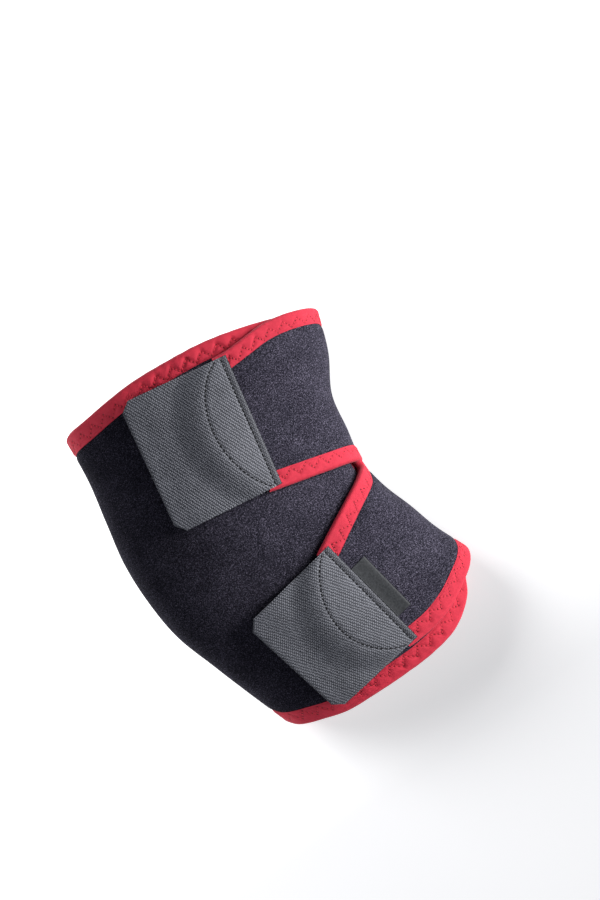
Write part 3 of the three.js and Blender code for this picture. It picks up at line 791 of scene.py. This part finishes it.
def hook_tab(tab, material):
    runs = np.linspace(0, tab["length"], int(tab["length"] / TAB_STEP) + 1)[:, None]
    shares = np.linspace(0, 1, int(tab["width"] / TAB_STEP) + 1)[None, :]
    cut = np.maximum(runs - (tab["length"] - TAB_CLIP), 0)
    distances = cut + shares * (tab["width"] - 2 * cut)
    across = distances * cos(tab["rib_turn"]) - runs * sin(tab["rib_turn"])
    rib = 0.5 + 0.5 * np.cos(2 * pi * across / RIB_PITCH)
    to_edge = np.minimum(np.minimum(distances - cut, tab["width"] - cut - distances),
                         np.minimum(runs, tab["length"] - runs))
    seam_gap = np.minimum(np.abs(runs - seam_reach(tab, distances / tab["width"])),
                          np.abs(runs - HEM_WIDTH))
    hem = (1 - smoothstep(HEM_WIDTH - 0.5, HEM_WIDTH + 0.3, runs)) * HEM_RISE
    top = HOOK_TAPE + RIB_HEIGHT * (rib - 1) + hem
    top = top - SEAM_DENT * np.exp(-((seam_gap / ROLL_RUN) ** 2))
    top = top - EDGE_ROLL * (1 - smoothstep(0, ROLL_RUN, to_edge))
    curl = TAB_CURL * smoothstep(tab["length"] - TAB_CURL_RUN, tab["length"], runs) ** 2
    outer = tab_point(tab, runs, distances, top + curl)
    inner = tab_point(tab, runs, distances, curl)
    notes = np.stack(np.broadcast_arrays(runs, distances), -1)
    cloth = closed_sheet(outer, inner, notes)
    return cloth.piece(tab["name"].replace("hook_tab", "tab"), material, "hook_tape")


def ribbed_weave(tab):
    cloth = Finish(tab["name"] + "_weave", Roughness=0.62, Specular_IOR_Level=0.4, Sheen_Weight=0.3,
                   Sheen_Roughness=0.4)
    run_up, run, up = cloth.fabric()
    turn_cos, turn_sin = cos(tab["rib_turn"]), sin(tab["rib_turn"])
    across = cloth.math("SUBTRACT", cloth.math("MULTIPLY", up, turn_cos),
                        cloth.math("MULTIPLY", run, turn_sin))
    lengthways = cloth.math("ADD", cloth.math("MULTIPLY", run, turn_cos),
                            cloth.math("MULTIPLY", up, turn_sin))
    wobble = cloth.math("MULTIPLY", cloth.math("SUBTRACT", cloth.noise(run_up, 0.5, 3), 0.5), 1.5)
    ribs_at = cloth.math("DIVIDE", cloth.math("ADD", across, wobble), RIB_PITCH)
    rib = cloth.math("ADD", cloth.math("MULTIPLY", cloth.math(
        "COSINE", cloth.math("MULTIPLY", ribs_at, 2 * pi)), 0.5), 0.5)
    shifted = cloth.math("ADD", cloth.math("DIVIDE", lengthways, RIB_KNOT), cloth.math(
        "MULTIPLY", cloth.math("ROUND", ribs_at), 0.5))
    knot = cloth.math("ADD", cloth.math("MULTIPLY", cloth.math(
        "COSINE", cloth.math("MULTIPLY", shifted, 2 * pi)), 0.5), 0.5)
    grain = cloth.noise(cloth.place(), 1100, 2)
    in_hem = cloth.add("MapRange", run, HEM_WIDTH + 0.2, HEM_WIDTH - 0.4)
    evener = cloth.math("ADD", cloth.math("MULTIPLY", in_hem, -0.35), 0.5)
    height = cloth.math("MULTIPLY", cloth.math("POWER", rib, evener), cloth.math(
        "ADD", cloth.math("MULTIPLY", knot, 0.6), 0.4))
    hem = cloth.math("MULTIPLY", in_hem, 0.34)
    tone = cloth.math("ADD", cloth.math("MULTIPLY", height, 0.7), cloth.math("MULTIPLY", grain, 0.4))
    dust = cloth.noise(cloth.place(), 120, 3, 0.6)
    dusty = cloth.math("MULTIPLY", cloth.math("SUBTRACT", dust, 0.5), 0.35)
    tone = cloth.math("ADD", cloth.math("SUBTRACT", tone, hem), dusty)
    cloth.colour(cloth.ramp(tone, (0.12, (0.024, 0.025, 0.032)), (0.95, (0.15, 0.153, 0.176)),
                            (0.5, (0.067, 0.069, 0.081))))
    cloth.bump(cloth.math("ADD", height, cloth.math("MULTIPLY", grain, 0.5)), 0.0004, 0.7)
    return cloth


for tab in (UPPER_TAB, LOWER_TAB):
    weave_finish = ribbed_weave(tab)
    made_tab = hook_tab(tab, weave_finish.material)
    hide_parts(tab["name"])

# Tab seams
# Black thread: a straight seam beside each hem, and a D-shaped one that ends at the same corners and
# holds the tab flat on the wing under it.
TAB_THREAD = 0.6
TAB_STITCH = 2.5
STITCH_SINK = 0.05
SEAM_SHARES = np.linspace(0.012, 0.988, 400)  # of the tab's width

seam_rows = []
for tab in (UPPER_TAB, LOWER_TAB):
    for reaches_in in (HEM_WIDTH + 0 * SEAM_SHARES, seam_reach(tab, SEAM_SHARES)):
        line, raised = (tab_point(tab, reaches_in, SEAM_SHARES * tab["width"],
                                  HOOK_TAPE - STITCH_SINK + above) for above in (0, 1))
        walked = np.concatenate([[0], np.cumsum(np.linalg.norm(np.diff(line, axis=0), axis=1))])
        holes_at = np.linspace(0, walked[-1], int(walked[-1] / TAB_STITCH) + 1)
        holes, tops = (np.stack([np.interp(holes_at, walked, rows[:, k]) for k in range(3)], 1)
                       for rows in (line, raised))
        seam_rows.append((holes, tops - holes))
black_thread = twisted_thread("black_thread", (0.002, 0.002, 0.003), (0.009, 0.009, 0.011))
sew("tab_seams", seam_rows, "hook_tape", black_thread, Thread=TAB_THREAD * MM, Shown=0.8)

# Side label
# A short folded ribbon, sewn in between the lower tab and the wing. Its face is left bare.
LABEL_LENGTH = 36.0
LABEL_REACH = 9.0
LABEL_FOOT = 15.0
LABEL_RIBBON = 0.6
LABEL_LIFT = 0.5  # at its folded end
LABEL_FOLD = 0.25  # how far both faces round off towards the fold
RIBBON_PITCH = 0.45

ribbon = Finish("label_ribbon", Roughness=0.6, Specular_IOR_Level=0.2, Sheen_Weight=0.05)
ribbon_up = ribbon.fabric()[-1]
ribbon_lines = ribbon.math("SINE", ribbon.math("MULTIPLY", ribbon_up, 2 * pi / RIBBON_PITCH))
ribbon_grain = ribbon.noise(ribbon.place(), 900, 2)
ribbon_tone = ribbon.math("ADD", ribbon.math("MULTIPLY", ribbon_lines, 0.12), ribbon_grain)
ribbon.colour(ribbon.ramp(ribbon_tone, (0.25, (0.009, 0.01, 0.0115)), (0.8, (0.027, 0.029, 0.032))))
ribbon.bump(ribbon_tone, 0.00015, 0.6)

label_runs = np.linspace(-LABEL_REACH - CLEARANCE, -CLEARANCE, 30)[:, None]
label_ups = np.linspace(LABEL_FOOT, LABEL_FOOT + LABEL_LENGTH, 90)[None, :]
lift_off = LABEL_LIFT * smoothstep(-2, -LABEL_REACH, label_runs)
fold_drop = LABEL_FOLD * (1 - smoothstep(-LABEL_REACH - CLEARANCE, -LABEL_REACH + 0.6, label_runs))
label_top = tab_point(LOWER_TAB, label_runs, label_ups, LABEL_RIBBON + lift_off - fold_drop)
label_under = tab_point(LOWER_TAB, label_runs, label_ups, lift_off + fold_drop)
label_notes = np.stack(np.broadcast_arrays(label_runs, label_ups), -1)
label_solid = closed_sheet(label_top, label_under, label_notes)
label = label_solid.piece("label", ribbon.material, "label_ribbon")
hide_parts("side_label")

# Floor and light
# A white sweep of paper, glowing with painted light that grows towards the back, under a broad soft
# key from the right of the picture, with weak fill. A low light from the lower left lifts the shaded
# tape only.
FLOOR_HALF = 3.0
FLOOR_LEVEL = -0.0004
floor_mesh = bpy.data.meshes.new("floor")
floor_mesh.from_pydata([(x * FLOOR_HALF, y * FLOOR_HALF, FLOOR_LEVEL)
                        for x, y in ((-1, -1), (1, -1), (1, 1), (-1, 1))], [], [(0, 1, 2, 3)])
floor = bpy.data.objects.new("floor", floor_mesh)
bpy.context.collection.objects.link(floor)
paper = Finish("glowing_white_paper", Roughness=0.9, Emission_Color=(1, 1, 1, 1))
# The paper glows by itself, from half strength at the front to full at the back: painted light that
# whitens the floor and washes out the brace's shadow towards the back.
to_back = paper.add("SeparateXYZ", paper.place(), out=1)
painted_floor_glow = paper.add("MapRange", to_back, -0.16, 0.0, 0.5, 1.0)
paper.tree.links.new(painted_floor_glow, paper.shader.inputs["Emission Strength"])
paper.colour(paper.ramp(paper.noise(paper.place(), 3, 1), (0.3, (0.6, 0.6, 0.61)),
                        (0.7, (0.63, 0.63, 0.635))))
floor_mesh.materials.append(paper.material)

picture_right = Vector((cos(CAMERA_TURN), sin(CAMERA_TURN), 0))
picture_up = Vector((-sin(CAMERA_TURN), cos(CAMERA_TURN), 0))
brace_middle = Vector((0.017, -0.003, 0.03))
floor_only = bpy.data.collections.new("floor_only")
floor_only.objects.link(floor)
all_but_floor = bpy.data.collections.new("all_but_floor")
all_but_floor.objects.link(floor)
all_but_floor.collection_objects[0].light_linking.link_state = "EXCLUDE"
tape_only = bpy.data.collections.new("tape_only")
for lit_name in (*bound_edges, "zigzag_seam"):
    tape_only.objects.link(bpy.data.objects[lit_name])


def soft_light(name, right, up, above, size, watts, lights):
    data = bpy.data.lights.new(name, "AREA")
    data.size = size
    data.energy = watts
    lamp = bpy.data.objects.new(name, data)
    lamp.location = brace_middle + picture_right * right + picture_up * up + Vector((0, 0, above))
    lamp.rotation_euler = (brace_middle - lamp.location).to_track_quat("-Z", "Y").to_euler()
    bpy.context.collection.objects.link(lamp)
    lamp.light_linking.receiver_collection = lights


soft_light("key", 0.86, 0.4, 0.5, 0.6, 31.5, all_but_floor)
soft_light("floor_light", -1.0, 0.5, 0.9, 0.9, 28, floor_only)
soft_light("tape_fill", -0.9, -0.7, 0.5, 0.9, 11, tape_only)

world = bpy.data.worlds.new("studio")
world.use_nodes = True
sky = world.node_tree
direction = sky.nodes.new("ShaderNodeTexCoord")
height_of = sky.nodes.new("ShaderNodeSeparateXYZ")
fall = sky.nodes.new("ShaderNodeValToRGB")
sky.links.new(direction.outputs["Generated"], height_of.inputs[0])
sky.links.new(height_of.outputs["Z"], fall.inputs[0])
sky.links.new(fall.outputs[0], sky.nodes["Background"].inputs["Color"])
for stop, (height, grey) in zip(fall.color_ramp.elements, ((0.08, 0.8), (0.42, 0.1))):
    stop.position = height
    stop.color = (0.86 * grey, 0.93 * grey, 1.12 * grey, 1)
bpy.context.scene.world = world
